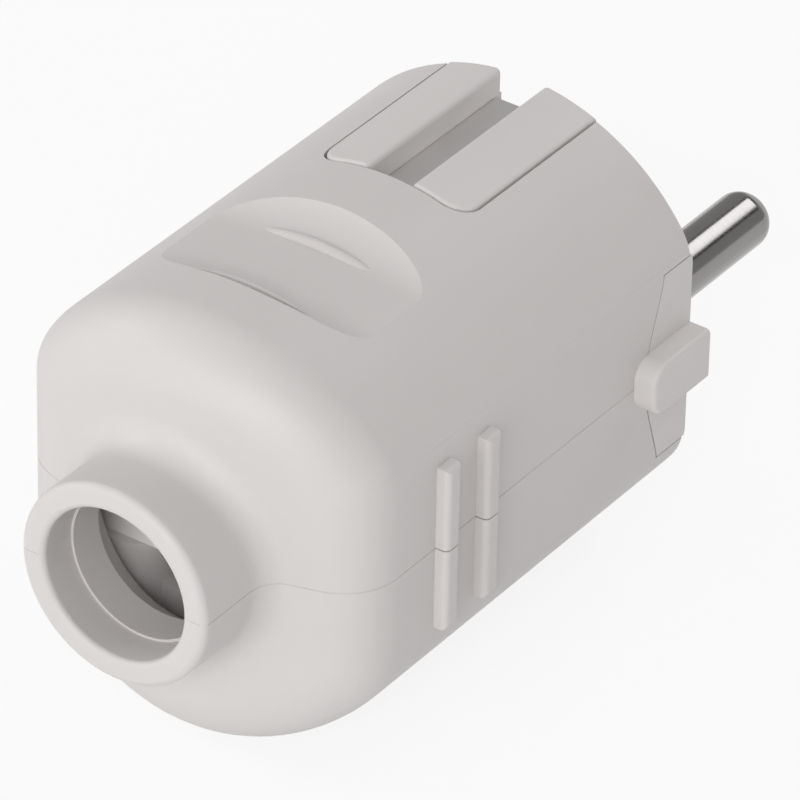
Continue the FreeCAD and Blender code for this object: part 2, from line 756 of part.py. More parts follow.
def make_pin(name, side):
    """A turned contact pin with its wire barrel."""
    owner = new_body(name)
    shoulder = -s.plate_depth
    rear = shoulder - s.barrel_length
    corners = [
        (0, s.pin_length),
        (s.pin_radius, s.pin_length),
        (s.pin_radius, 0),
        (s.root_radius, 0),
        (s.root_radius, shoulder),
        (s.barrel_radius, shoulder),
        (s.barrel_radius, rear),
        (0, rear),
    ]
    turned(owner, "Revolution", name + "_turning", polygon(owner, name + "_profile", "XY_Plane", corners))
    round_edges(owner, name + "_tip", s.pin_round, lambda edge: at_y(edge, s.pin_length))
    wire = [
        (0, rear),
        (s.wire_radius, rear),
        (s.wire_radius, rear + s.wire_depth),
        (0, rear + s.wire_depth),
    ]
    turned(owner, "Groove", name + "_wire", polygon(owner, name + "_wire_profile", "XY_Plane", wire))
    thread = new_sketch(owner, name + "_thread_circle", "XY_Plane")
    spot = rear + s.terminal_place
    circle = Part.Circle(FreeCAD.Vector(0, spot.number, 0), Z_AXIS, s.terminal_radius.number)
    thread.addGeometry(circle)
    thread.addConstraint(Sketcher.Constraint("PointOnObject", 0, 3, -2))
    index = thread.addConstraint(Sketcher.Constraint("DistanceY", -1, 1, 0, 3, spot.number))
    bind(thread, "Constraints[%d]" % index, spot)
    index = thread.addConstraint(Sketcher.Constraint("Radius", 0, s.terminal_radius.number))
    bind(thread, "Constraints[%d]" % index, s.terminal_radius)
    pocket(owner, name + "_thread", thread, 2 * s.barrel_radius, reverse=True)
    return place(owner, side * s.pin_place, 0, 0)


def make_screw(name, radius, length, head_radius, head):
    """A slotted screw: its head stands on the origin plane, its shank hangs below."""
    owner = new_body(name)
    corners = [
        (0, -length),
        (radius, -length),
        (radius, 0),
        (head_radius, 0),
        (head_radius, head),
        (0, head),
    ]
    turned(owner, "Revolution", name + "_turning", polygon(owner, name + "_profile", "XZ_Plane", corners))
    round_edges(owner, name + "_crown", s.crown_share * head, lambda edge: at_z(edge, head))
    slot = [
        (-s.slot_width / 2, head - s.slot_depth),
        (s.slot_width / 2, head - s.slot_depth),
        (s.slot_width / 2, head + s.slot_depth),
        (-s.slot_width / 2, head + s.slot_depth),
    ]
    outline = polygon(owner, name + "_slot_outline", "XZ_Plane", slot)
    pocket(owner, name + "_slot", outline, 2 * (head_radius + s.slot_width), midplane=True)
    return owner


def make_pair(name, screw):
    """A piece and its mirror image across the middle, as a group of two solids."""
    pair = doc.addObject("Part::Compound", name)
    pair.Links = [screw, mirrored(name + "_left", screw, X_AXIS)]
    return pair


def make_terminal_screws():
    """The two wire screws, one in each pin's barrel."""
    height = s.barrel_radius + s.terminal_lift
    length = height - s.terminal_tip
    screw = make_screw(
        "terminal_screw", s.terminal_radius, length, s.terminal_head_radius, s.terminal_head
    )
    spot = s.terminal_place - s.plate_depth - s.barrel_length
    place(screw, s.pin_place, spot, height)
    return {"terminal_screws": make_pair("terminal_screws", screw)}


def make_earth_contact():
    """The bent earth strip with its tab, and the screw and plate that clamp the earth wire."""
    strap = new_body("earth_strap")
    top = s.body_radius - s.channel_depth
    back = -s.block_length - s.strip_clear
    corners = [
        (-s.strip_setback, top - s.strip_depth),
        (-s.strip_setback, top),
        (back - s.strip_depth, top),
        (back - s.strip_depth, -top),
        (-s.strip_setback, -top),
        (-s.strip_setback, s.strip_depth - top),
        (back, s.strip_depth - top),
        (back, top - s.strip_depth),
    ]
    width = 2 * (s.channel_half - s.strip_play)
    pad(strap, "strap_strip", polygon(strap, "strap_outline", "YZ_Plane", corners), width, True)
    bends = (
        ("strap_outer_bend", s.strip_bend, back - s.strip_depth),
        ("strap_inner_bend", s.strip_bend - s.strip_depth, back),
    )
    for name, radius, y in bends:
        round_edges(strap, name, radius, lambda edge: runs_along(edge, X_AXIS) and at_y(edge, y))
    tab = [
        (back - s.strip_depth, -s.tab_half),
        (back, -s.tab_half),
        (back, s.tab_half),
        (back - s.strip_depth, s.tab_half),
    ]
    pad(strap, "strap_tab", polygon(strap, "strap_tab_outline", "YZ_Plane", tab), 2 * s.tab_half, True)
    sleeve = [
        (0, back - s.strip_depth),
        (s.sleeve_radius, back - s.strip_depth),
        (s.sleeve_radius, back + s.sleeve_length),
        (0, back + s.sleeve_length),
    ]
    turned(strap, "Revolution", "strap_sleeve", polygon(strap, "strap_sleeve_profile", "XY_Plane", sleeve))
    hole = [
        (0, back - s.strip_depth),
        (s.earth_radius, back - s.strip_depth),
        (s.earth_radius, back + s.sleeve_length),
        (0, back + s.sleeve_length),
    ]
    turned(strap, "Groove", "strap_hole", polygon(strap, "strap_hole_profile", "XY_Plane", hole))

    face = back - s.strip_depth
    plate_low = (-s.plate_half, face - s.plate_wall, -s.plate_half)
    plate_blank = box("earth_plate_blank", plate_low, (s.plate_half, face, s.plate_half))
    corner = s.plate_wall
    plate_round = rounded("earth_plate_round", plate_blank, corner, lambda edge: runs_along(edge, Y_AXIS))
    hole_radius = s.earth_radius + s.hole_play
    plate_hole = rod("earth_plate_hole", hole_radius, (0, face - s.plate_wall, 0), s.plate_wall, ALONG_Y)
    screw = make_screw("earth_screw", s.earth_radius, s.earth_length, s.earth_head_radius, s.earth_head)
    place(screw, 0, face - s.plate_wall, 0, turn=ALONG_MINUS_Y)
    return {
        "earth_strap": strap,
        "earth_clamp_plate": cut("earth_clamp_plate", plate_round, plate_hole),
        "earth_screw": screw,
    }


def make_cord_clamp():
    """The bar that grips the cord, on two posts of the lower half, and its screws."""
    bottom = -s.clamp_drop
    top = bottom + s.clamp_wall
    low = (-s.clamp_half, -s.clamp_place - s.clamp_width / 2, bottom)
    blank = box("clamp_blank", low, (s.clamp_half, -s.clamp_place + s.clamp_width / 2, top))
    bar_round = rounded("clamp_bar_ends", blank, s.clamp_corner, lambda edge: runs_along(edge, Z_AXIS))
    bar_top = rounded("clamp_bar_top", bar_round, s.clamp_round, lambda edge: at_z(edge, top))
    tooth_half = s.clamp_screw_place - s.post_radius
    tooth_low = (-tooth_half, -s.clamp_place - s.clamp_tooth / 2, bottom - s.clamp_tooth)
    tooth_high = (tooth_half, -s.clamp_place + s.clamp_tooth / 2, bottom + s.clamp_tooth)
    tooth = box("clamp_tooth", tooth_low, tooth_high)
    holes = [
        rod(
            "clamp_hole_%d" % side,
            s.clamp_screw_radius + s.hole_play,
            (side * s.clamp_screw_place, -s.clamp_place, bottom),
            s.clamp_wall,
        )
        for side in (1, -1)
    ]
    bar = cut("cord_clamp_bar", fuse("clamp_bar_form", bar_top, tooth), *holes)
    screw = make_screw(
        "clamp_screw", s.clamp_screw_radius, s.clamp_screw_length, s.clamp_head_radius, s.clamp_head
    )
    place(screw, s.clamp_screw_place, -s.clamp_place, top)
    return {"cord_clamp_bar": bar, "cord_clamp_screws": make_pair("cord_clamp_screws", screw)}


def make_housing_fasteners():
    """The screw that holds the halves together from below, and its square nut."""
    screw = make_screw("housing_screw", s.main_radius, s.main_length, s.main_head_radius, s.main_head)
    place(screw, 0, -s.scoop_place, -s.main_seat, turn=HEAD_DOWN)
    low = (-s.nut_half, -s.scoop_place - s.nut_half, s.nut_place)
    high = (s.nut_half, -s.scoop_place + s.nut_half, s.nut_place + s.nut_depth)
    blank = box("nut_blank", low, high)
    thread = rod("nut_thread", s.main_radius, (0, -s.scoop_place, s.nut_place), s.nut_depth)
    return {"housing_screw": screw, "housing_nut": cut("housing_nut", blank, thread)}


parts = {}
parts.update(make_shells())
parts.update(make_carrier())
parts["contact_pin_right"] = make_pin("contact_pin_right", 1)
parts["contact_pin_left"] = make_pin("contact_pin_left", -1)
parts.update(make_terminal_screws())
parts.update(make_earth_contact())
parts.update(make_cord_clamp())
parts.update(make_housing_fasteners())
doc.recompute()

# Every object has to be sound before anything is written
for item in doc.Objects:
    if "Invalid" in item.State or "Error" in item.State:
        raise RuntimeError("%s failed: %s" % (item.Name, item.State))
for label, item in parts.items():
    item.Label = label
    if item.Shape.isNull() or not item.Shape.isValid():
        raise RuntimeError("%s has no sound shape" % label)

os.makedirs("parts", exist_ok=True)
for label, item in parts.items():
    item.Shape.exportStep("parts/%s.step" % label)
    print(label, len(item.Shape.Solids), "solids", round(item.Shape.Volume, 1), "mm3")
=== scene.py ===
import math
from typing import NamedTuple

import bmesh
import bpy
from bpy.props import FloatProperty, FloatVectorProperty, IntProperty, PointerProperty
from mathutils import Matrix, Vector


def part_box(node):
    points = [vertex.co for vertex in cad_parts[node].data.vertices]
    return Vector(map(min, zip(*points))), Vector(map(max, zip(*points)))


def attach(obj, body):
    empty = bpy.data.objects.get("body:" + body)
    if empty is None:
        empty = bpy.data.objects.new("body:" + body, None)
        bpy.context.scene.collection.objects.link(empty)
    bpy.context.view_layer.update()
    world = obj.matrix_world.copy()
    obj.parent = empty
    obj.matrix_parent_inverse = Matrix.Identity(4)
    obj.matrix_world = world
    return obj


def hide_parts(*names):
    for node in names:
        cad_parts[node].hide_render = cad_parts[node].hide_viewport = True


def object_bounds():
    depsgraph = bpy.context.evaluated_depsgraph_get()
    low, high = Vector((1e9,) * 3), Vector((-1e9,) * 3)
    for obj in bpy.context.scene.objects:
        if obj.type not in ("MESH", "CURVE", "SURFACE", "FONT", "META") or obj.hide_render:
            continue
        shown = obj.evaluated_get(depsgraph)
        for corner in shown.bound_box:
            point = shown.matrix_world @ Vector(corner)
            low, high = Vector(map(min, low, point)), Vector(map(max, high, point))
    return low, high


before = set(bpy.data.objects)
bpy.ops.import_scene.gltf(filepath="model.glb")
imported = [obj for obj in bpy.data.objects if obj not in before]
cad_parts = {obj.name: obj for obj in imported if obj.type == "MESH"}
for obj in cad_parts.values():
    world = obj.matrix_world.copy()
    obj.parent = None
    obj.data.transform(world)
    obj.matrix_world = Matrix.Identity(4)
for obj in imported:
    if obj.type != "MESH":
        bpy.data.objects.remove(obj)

bl_info = {
    "name": "Type F plug",
    "version": (1, 0, 0),
    "blender": (4, 5, 0),
    "location": "View3D > Sidebar > Plug",
    "description": "Dresses the solids of a rewirable type F mains plug",
    "category": "Object",
}

MM = 0.001
CAD_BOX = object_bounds()
BODY = "root"


# Node trees


class Value:
    """A socket of a node tree that can stand in a Python expression."""

    def __init__(self, graph, socket):
        self.graph = graph
        self.socket = socket

    def __add__(self, other):
        return self.graph.math("ADD", self, other)

    def __radd__(self, other):
        return self.graph.math("ADD", other, self)

    def __sub__(self, other):
        return self.graph.math("SUBTRACT", self, other)

    def __rsub__(self, other):
        return self.graph.math("SUBTRACT", other, self)

    def __mul__(self, other):
        return self.graph.math("MULTIPLY", self, other)

    def __rmul__(self, other):
        return self.graph.math("MULTIPLY", other, self)

    def __truediv__(self, other):
        return self.graph.math("DIVIDE", self, other)

    def __rtruediv__(self, other):
        return self.graph.math("DIVIDE", other, self)

    def __neg__(self):
        return self.graph.math("MULTIPLY", self, -1.0)

    def __abs__(self):
        return self.graph.math("ABSOLUTE", self)


class Graph:
    """A node tree under construction."""

    def __init__(self, tree):
        self.tree = tree
        self.tree.nodes.clear()

    def node(self, kind, settings=None, sockets=None, output=0):
        """Adds a node: its settings first, then the values or links of its sockets."""
        node = self.tree.nodes.new(kind)
        for name, setting in (settings or {}).items():
            if name == "stops":
                self.set_stops(node.color_ramp, setting)
            else:
                setattr(node, name, setting)
        for name, value in (sockets or {}).items():
            self.feed(node.inputs[name], value)
        return Value(self, node.outputs[output]) if len(node.outputs) else None

    def feed(self, socket, value):
        """Links a value to a socket, or several to one that takes many, or sets it."""
        if isinstance(value, Value):
            self.tree.links.new(value.socket, socket)
        elif isinstance(value, list):
            for one in value:
                self.tree.links.new(one.socket, socket)
        else:
            socket.default_value = value

    def set_stops(self, ramp, stops):
        """Gives a colour ramp its stops."""
        while len(ramp.elements) < len(stops):
            ramp.elements.new(1.0)
        for element, (place, level) in zip(ramp.elements, stops):
            element.position = place
            element.color = (level, level, level, 1.0)

    def math(self, operation, first, second=0.0):
        """One Math node."""
        return self.node("ShaderNodeMath", {"operation": operation}, {0: first, 1: second})


class Finish(Graph):
    """A surface finish under construction."""

    def __init__(self, name):
        self.material = bpy.data.materials.new(name)
        self.material.use_nodes = True
        super().__init__(self.material.node_tree)
        self.place = self.node("ShaderNodeTexCoord", output="Object")

    def stretched(self, scale):
        """The surface's own coordinates, stretched along the axes."""
        return self.node("ShaderNodeMapping", None, {"Vector": self.place, "Scale": scale})

    def noise(self, scale, detail=2.0, place=None):
        """A soft cloud from 0 to 1; scale is in lumps for each metre."""
        sockets = {"Vector": place or self.place, "Scale": scale, "Detail": detail, "Roughness": 0.5}
        return self.node("ShaderNodeTexNoise", {"noise_dimensions": "3D"}, sockets, "Fac")

    def ramp(self, value, stops):
        """A value bent by a ramp of grey stops."""
        return self.node("ShaderNodeValToRGB", {"stops": stops}, {"Fac": value}, "Color")

    def axis(self, name):
        """One of the surface's own coordinates."""
        return self.node("ShaderNodeSeparateXYZ", None, {"Vector": self.place}, name)

    def step(self, value, start, width):
        """0 up to a start, rising to 1 over a width."""
        return self.node("ShaderNodeClamp", None, {"Value": (value - start) / width})

    def blend(self, factor, first, second):
        """A colour between two colours."""
        return self.node("ShaderNodeMix", {"data_type": "RGBA"}, {0: factor, 6: first, 7: second}, 2)

    def bump(self, height, distance):
        """A normal that follows a height."""
        sockets = {"Height": height, "Distance": distance, "Strength": 1.0}
        return self.node("ShaderNodeBump", None, sockets, "Normal")

    def surface(self, **sockets):
        """Closes the finish with one shader. Underscores stand for blanks in socket names."""
        named = {name.replace("_", " "): value for name, value in sockets.items()}
        return self.close(self.node("ShaderNodeBsdfPrincipled", None, named, "BSDF"))

    def close(self, shader):
        """Gives the finish its shader."""
        self.node("ShaderNodeOutputMaterial", None, {"Surface": shader})
        return self.material


def tint(colour, factor):
    """A colour made lighter or darker."""
    return tuple(min(1.0, channel * factor) for channel in colour) + (1.0,)


# Sizes and colours


class PlugFinishes(bpy.types.PropertyGroup):
    """Colours and textures of the plug."""

    housing_colour: FloatVectorProperty(
        name="Housing",
        description="Colour of the moulded halves",
        subtype="COLOR",
        min=0.0,
        max=1.0,
        default=(0.655, 0.629, 0.620),
    )
    # The carrier's colour is the housing's plastic made about 5 % lighter: painted light, standing in for
    # light that its faces lack beside the body.
    carrier_colour_with_painted_light: FloatVectorProperty(
        name="Carrier",
        description="Colour of the pin carrier",
        subtype="COLOR",
        min=0.0,
        max=1.0,
        default=(0.688, 0.662, 0.652),
    )
    # The bar's near-white colour is partly its own pale plastic and partly painted light, which brightens
    # it deep in the cord's bore where the lamps reach little.
    clamp_colour_with_painted_light: FloatVectorProperty(
        name="Clamp bar",
        description="Colour of the cord clamp's bar",
        subtype="COLOR",
        min=0.0,
        max=1.0,
        default=(0.86, 0.84, 0.82),
    )
    # The pins' nickel is much darker than real plating: painted shade, standing in for darker surroundings
    # in the pins' reflections.
    nickel_colour_with_painted_shade: FloatVectorProperty(
        name="Nickel",
        description="Colour of the plated pins",
        subtype="COLOR",
        min=0.0,
        max=1.0,
        default=(0.285, 0.277, 0.274),
    )
    earth_colour: FloatVectorProperty(
        name="Earth strip",
        description="Colour of the plated earth strip and its clamp plate",
        subtype="COLOR",
        min=0.0,
        max=1.0,
        default=(0.68, 0.67, 0.665),
    )
    zinc_colour: FloatVectorProperty(
        name="Zinc",
        description="Colour of the plated screws and the nut",
        subtype="COLOR",
        min=0.0,
        max=1.0,
        default=(0.58, 0.60, 0.62),
    )
    plastic_roughness: FloatProperty(
        name="Plastic roughness",
        description="Middle roughness of the moulded plastic",
        subtype="FACTOR",
        min=0.0,
        max=1.0,
        default=0.46,
    )
    grain_depth: FloatProperty(
        name="Mould grain",
        description="Depth of the mould's eroded grain",
        unit="LENGTH",
        min=0.0,
        default=0.012 * MM,
    )


class PlugScrews(bpy.types.PropertyGroup):
    """Sizes that the plug's screws share."""

    pitch: FloatProperty(
        name="Pitch",
        description="Rise of a thread in one turn, as a share of its radius",
        subtype="FACTOR",
        min=0.1,
        max=1.0,
        default=0.35,
    )
    slot_width: FloatProperty(
        name="Slot width",
        description="Width of a screwdriver slot",
        unit="LENGTH",
        min=0.0,
        default=0.9 * MM,
    )
    slot_depth: FloatProperty(
        name="Slot depth",
        description="Depth of a screwdriver slot",
        unit="LENGTH",
        min=0.0,
        default=1.0 * MM,
    )
    segments: IntProperty(
        name="Segments",
        description="Facets round a screw's head",
        min=12,
        max=128,
        default=64,
    )


class PlugRidges(bpy.types.PropertyGroup):
    """Sizes of the fine ridge along the rear edge of each finger scoop."""

    half_length: FloatProperty(
        name="Half length",
        description="Half of a ridge's length across the plug",
        unit="LENGTH",
        min=0.0,
        default=6.0 * MM,
    )
    height: FloatProperty(
        name="Height",
        description="Height of a ridge over the scoop at its middle",
        unit="LENGTH",
        min=0.0,
        default=0.60 * MM,
    )
    width: FloatProperty(
        name="Width",
        description="Width of a ridge at its middle",
        unit="LENGTH",
        min=0.0,
        default=1.3 * MM,
    )


class PlugStage(bpy.types.PropertyGroup):
    """The studio round the plug."""

    floor_colour: FloatVectorProperty(
        name="Floor",
        description="Colour of the floor",
        subtype="COLOR",
        min=0.0,
        max=1.0,
        default=(0.9, 0.9, 0.9),
    )
    ambient: FloatProperty(
        name="Ambient",
        description="Strength of the even light from all sides",
        min=0.0,
        default=0.44,
    )
    lean: FloatProperty(
        name="Lean",
        description="How much stronger the even light is from the left than from above",
        subtype="FACTOR",
        min=0.0,
        max=1.0,
        default=0.2,
    )
    key_power: FloatProperty(
        name="Key light",
        description="Power of the large lamp behind the plug",
        unit="POWER",
        min=0.0,
        default=2.4,
    )
    front_power: FloatProperty(
        name="Front light",
        description="Power of the lamp above and in front of the pins",
        unit="POWER",
        min=0.0,
        default=1.2,
    )
    fill_power: FloatProperty(
        name="Fill light",
        description="Power of the lamp behind the camera, which reaches into the cord's bore",
        unit="POWER",
        min=0.0,
        default=2.0,
    )
    side_power: FloatProperty(
        name="Side light",
        description="Power of the lamp on the plug's left",
        unit="POWER",
        min=0.0,
        default=1.6,
    )
    focal_length: FloatProperty(
        name="Lens",
        description="Focal length of the camera",
        unit="CAMERA",
        min=1.0,
        default=339.43,
    )


# Finishes


# Moulded plastic: lumps for each metre, and how far they change the colour, the roughness and the height
CLOUD_SCALE = 70.0
CLOUD_TINTS = (0.975, 1.025)
RUBBED_SCALE = 160.0
RUBBED_STOPS = ((0.45, 0.0), (0.72, 1.0))
RUBBED_GLOSS = 0.06
RIPPLE_SCALE = 420.0
GRAIN_SCALE = 9000.0
GRAIN_GLOSS = 0.07
GRAIN_SHARE = 0.8
PLASTIC_IOR = 1.5
CLAMP_ROUGHNESS = 0.5

# The fine step that the mould's parts leave along the edges of the side flats
LINE_LEVEL = 8.85 * MM
LINE_WIDTH = 0.10 * MM
LINE_DEPTH = 0.02 * MM
LINE_SIDE = 14.0 * MM
LINE_FADE = 1.0 * MM

# Plated metal: marks for each metre, and how far they change the colour, the roughness and the height
RING_SPREAD = 60.0
RING_GLOSS = 0.10
RING_DEPTH = 0.001 * MM
HANDLED_SCALE = 240.0
HANDLED_TINTS = (0.94, 1.05)
HANDLED_GLOSS = 0.06

# Middle roughness of each metal, and its rings for each metre
PIN_METAL = (0.16, 5200.0)
STRIP_METAL = (0.34, 900.0)
NUT_METAL = (0.36, 1500.0)
SCREW_METAL = (0.30, 1500.0)


def moulded_plastic(name, colour, roughness, grain_depth, edge_line=False):
    """Matte moulded plastic: faint clouds of colour, an eroded grain and a few rubbed places."""
    finish = Finish(name)
    clouds = finish.noise(CLOUD_SCALE, 3.0)
    grain = finish.noise(GRAIN_SCALE)
    ripple = finish.noise(RIPPLE_SCALE)
    rubbed = finish.ramp(finish.noise(RUBBED_SCALE, 4.0), RUBBED_STOPS)
    height = grain_depth * (GRAIN_SHARE * grain + (1.0 - GRAIN_SHARE) * ripple)
    if edge_line:
        above = finish.step(abs(finish.axis("Z")), LINE_LEVEL, LINE_WIDTH)
        beside = finish.step(abs(finish.axis("X")), LINE_SIDE, LINE_FADE)
        height = height + LINE_DEPTH * above * beside
    return finish.surface(
        Base_Color=finish.blend(clouds, *[tint(colour, factor) for factor in CLOUD_TINTS]),
        Roughness=roughness + GRAIN_GLOSS * grain - RUBBED_GLOSS * rubbed,
        Normal=finish.bump(height, 1.0),
        IOR=PLASTIC_IOR,
    )


def plated_metal(name, colour, roughness, ring_scale):
    """Plated metal with turned rings along Y and faint handling marks."""
    finish = Finish(name)
    rings = finish.noise(1.0, place=finish.stretched((RING_SPREAD, ring_scale, RING_SPREAD)))
    handled = finish.noise(HANDLED_SCALE, 3.0)
    return finish.surface(
        Base_Color=finish.blend(handled, *[tint(colour, factor) for factor in HANDLED_TINTS]),
        Roughness=(roughness - HANDLED_GLOSS) + RING_GLOSS * rings + HANDLED_GLOSS * handled,
        Metallic=1.0,
        Normal=finish.bump(rings, RING_DEPTH),
    )


def dress(node, material):
    """Gives a CAD node its finish."""
    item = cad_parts[node]
    item.data.materials.clear()
    item.data.materials.append(material)


def link(name, mesh):
    """Puts a mesh into the scene as an object at the origin."""
    item = bpy.data.objects.new(name, mesh)
    bpy.context.scene.collection.objects.link(item)
    return item


def to_mesh(name, shape):
    """Turns a finished bmesh into a mesh."""
    mesh = bpy.data.meshes.new(name)
    shape.to_mesh(mesh)
    shape.free()
    return mesh


# Scoop ridges


# Where a ridge stands at its middle, and how it bends forwards and drops
# with the square of the distance from there, in metres for each square metre
RIDGE_PLACE = -35.3 * MM
RIDGE_LEVEL = 17.44 * MM
RIDGE_BEND = 7.0
RIDGE_DROP = 14.6

# The crest lies this much lower than the ridge's height says
RIDGE_SINK = 0.08 * MM

# Share of the half length that a ridge's taper counts, so that its ends keep a small section
RIDGE_FADE = 0.98

# Section from the steep side to the flat side, as shares of the width: each point's place,
# and its depth under the crest, or under the scoop's surface for the two feet
STEEP_FOOT = (-0.12, 0.40)
RIDGE_CREST = ((-0.12, 0.10), (-0.08, 0.03), (0.0, 0.0), (0.10, 0.03), (0.22, 0.12))
FLAT_FOOT = (1.0, 0.62)

RIDGE_STEPS = 48
RIDGE_SHARP = math.radians(50.0)


def ridge_section(ridges, along):
    """Outline of a ridge at a distance from its middle: place and height of each point."""
    share = 1.0 - (RIDGE_FADE * along / ridges.half_length) ** 2
    place = RIDGE_PLACE + RIDGE_BEND * along**2
    level = RIDGE_LEVEL - RIDGE_DROP * along**2
    crest = level + ridges.height * share - RIDGE_SINK
    width = ridges.width * share
    rows = [(level, STEEP_FOOT)] + [(crest, point) for point in RIDGE_CREST] + [(level, FLAT_FOOT)]
    return [(place + across * width, base - depth * width) for base, (across, depth) in rows]


def make_ridges(name, ridges, material):
    """The rear ridges of the upper and the lower scoop."""
    shape = bmesh.new()
    for side in (1, -1):
        rings = []
        for i in range(RIDGE_STEPS + 1):
            along = ridges.half_length * (2.0 * i / RIDGE_STEPS - 1.0)
            section = ridge_section(ridges, along)
            rings.append([shape.verts.new((along, y, side * z)) for y, z in section])
        for first, second in zip(rings, rings[1:]):
            for j in range(len(first)):
                shape.faces.new((first[j - 1], first[j], second[j], second[j - 1]))
        shape.faces.new(rings[0])
        shape.faces.new(rings[-1])
    bmesh.ops.recalc_face_normals(shape, faces=shape.faces)
    for face in shape.faces:
        face.smooth = True
    mesh = to_mesh(name, shape)
    mesh.set_sharp_from_angle(angle=RIDGE_SHARP)
    mesh.materials.append(material)
    piece = link(name, mesh)
    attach(piece, BODY)


# Screws


# Turns that point a screw's head
HEAD_UP = Matrix.Identity(4)
HEAD_BACK = Matrix.Rotation(math.pi / 2, 4, "X")
HEAD_DOWN = Matrix.Rotation(math.pi, 4, "X")


class ScrewKind(NamedTuple):
    """A kind of screw: the node that it stands for, its thread, its head and the head's turn."""

    node: str
    radius: float
    head_radius: float
    head_height: float
    turn: Matrix


SCREWS = {
    "Terminal_screws": ScrewKind("terminal_screws", 1.5 * MM, 2.5 * MM, 1.8 * MM, HEAD_UP),
    "Earth_screw": ScrewKind("earth_screw", 1.75 * MM, 3.2 * MM, 2.2 * MM, HEAD_BACK),
    "Clamp_screws": ScrewKind("cord_clamp_screws", 1.45 * MM, 2.7 * MM, 1.9 * MM, HEAD_UP),
    "Housing_screw": ScrewKind("housing_screw", 2.0 * MM, 3.5 * MM, 2.4 * MM, HEAD_DOWN),
}

# Thread: its depth, the share of the depth that it stands out of the core, and the plain end at the tip,
# the last as a share of the thread's radius, as the depth is
THREAD_DEPTH = 0.16
THREAD_PROUD = 0.96
THREAD_PLAIN = 0.3
THREAD_STEPS = 32
THREAD_SIDES = 4

# Tip and head: the tip's flat end as a share of the core's radius, the crown's rounding as a share
# of the head's height, and the bevel of the head's lower edge
TIP_SHARE = 0.72
CROWN_SHARE = 0.28
CROWN_STEPS = 6
HEAD_BEVEL = 0.04 * MM
SCREW_SHARP = math.radians(32.0)

# The slot's cutting bar is this many head radii long
SLOT_REACH = 3.0

# The profile is turned on a ring of this radius, and its points on the axis are then merged
TURN_RADIUS = 0.05 * MM
MERGE_DISTANCE = 0.002 * MM

SCREW_TREE = "Slotted screw"
SCREW_LENGTHS = (
    "Thread radius",
    "Thread depth",
    "Pitch",
    "Length",
    "Head height",
    "Head radius",
    "Slot width",
    "Slot depth",
    "Spacing",
)


def screw_tree():
    """The rule of a slotted screw: a turned profile, a thread, a slot, and a row of copies."""
    group = bpy.data.node_groups.new(SCREW_TREE, "GeometryNodeTree")
    interface = group.interface
    interface.new_socket("Profile", in_out="INPUT", socket_type="NodeSocketGeometry")
    for name in SCREW_LENGTHS:
        interface.new_socket(name, in_out="INPUT", socket_type="NodeSocketFloat")
    for name in ("Segments", "Count"):
        interface.new_socket(name, in_out="INPUT", socket_type="NodeSocketInt")
    interface.new_socket("Finish", in_out="INPUT", socket_type="NodeSocketMaterial")
    interface.new_socket("Screws", in_out="OUTPUT", socket_type="NodeSocketGeometry")
    graph = Graph(group)
    entry = group.nodes.new("NodeGroupInput")
    given = {socket.name: Value(graph, socket) for socket in entry.outputs if socket.name}

    # The profile turned about the screw's axis, on a small ring that the profile's points allow for
    ring = graph.node(
        "GeometryNodeCurvePrimitiveCircle",
        {"mode": "RADIUS"},
        {"Resolution": given["Segments"], "Radius": TURN_RADIUS},
    )
    ring = graph.node("GeometryNodeSetCurveNormal", {"mode": "Z_UP"}, {"Curve": ring})
    profile = graph.node("GeometryNodeMeshToCurve", None, {"Mesh": given["Profile"]})
    turned = graph.node("GeometryNodeCurveToMesh", None, {"Curve": ring, "Profile Curve": profile})
    merging = {"Geometry": turned, "Distance": MERGE_DISTANCE}
    turned = graph.node("GeometryNodeMergeByDistance", None, merging)

    # The slot in the head, cut by a bar whose middle lies at the head's top
    bar_size = graph.node(
        "ShaderNodeCombineXYZ",
        None,
        {
            "X": SLOT_REACH * given["Head radius"],
            "Y": given["Slot width"],
            "Z": 2.0 * given["Slot depth"],
        },
    )
    bar = graph.node("GeometryNodeMeshCube", None, {"Size": bar_size})
    lift = graph.node("ShaderNodeCombineXYZ", None, {"Z": given["Head height"]})
    bar = graph.node("GeometryNodeTransform", None, {"Geometry": bar, "Translation": lift})
    slotted = graph.node(
        "GeometryNodeMeshBoolean",
        {"operation": "DIFFERENCE", "solver": "EXACT"},
        {"Mesh 1": turned, "Mesh 2": bar},
    )

    # The thread: a diamond swept along a spiral
    root = given["Thread radius"] - given["Thread depth"]
    spiral = graph.node(
        "GeometryNodeCurveSpiral",
        None,
        {
            "Resolution": THREAD_STEPS,
            "Rotations": given["Length"] / given["Pitch"],
            "Start Radius": root,
            "End Radius": root,
            "Height": given["Length"],
        },
    )
    spiral = graph.node("GeometryNodeSetCurveNormal", {"mode": "Z_UP"}, {"Curve": spiral})
    flank = graph.node(
        "GeometryNodeCurvePrimitiveCircle",
        {"mode": "RADIUS"},
        {"Resolution": THREAD_SIDES, "Radius": given["Thread depth"]},
    )
    thread = graph.node(
        "GeometryNodeCurveToMesh",
        None,
        {"Curve": spiral, "Profile Curve": flank, "Fill Caps": True},
    )
    sink = graph.node("ShaderNodeCombineXYZ", None, {"Z": -given["Length"]})
    thread = graph.node("GeometryNodeTransform", None, {"Geometry": thread, "Translation": sink})

    # The row of copies
    screw = graph.node("GeometryNodeJoinGeometry", None, {"Geometry": [slotted, thread]})
    step = graph.node("ShaderNodeCombineXYZ", None, {"X": given["Spacing"]})
    places = graph.node("GeometryNodeMeshLine", None, {"Count": given["Count"], "Offset": step})
    screws = graph.node("GeometryNodeInstanceOnPoints", None, {"Points": places, "Instance": screw})
    screws = graph.node("GeometryNodeRealizeInstances", None, {"Geometry": screws})
    finished = {"Geometry": screws, "Material": given["Finish"]}
    screws = graph.node("GeometryNodeSetMaterial", None, finished)
    exit_node = group.nodes.new("NodeGroupOutput")
    graph.feed(exit_node.inputs["Screws"], screws)
    return group


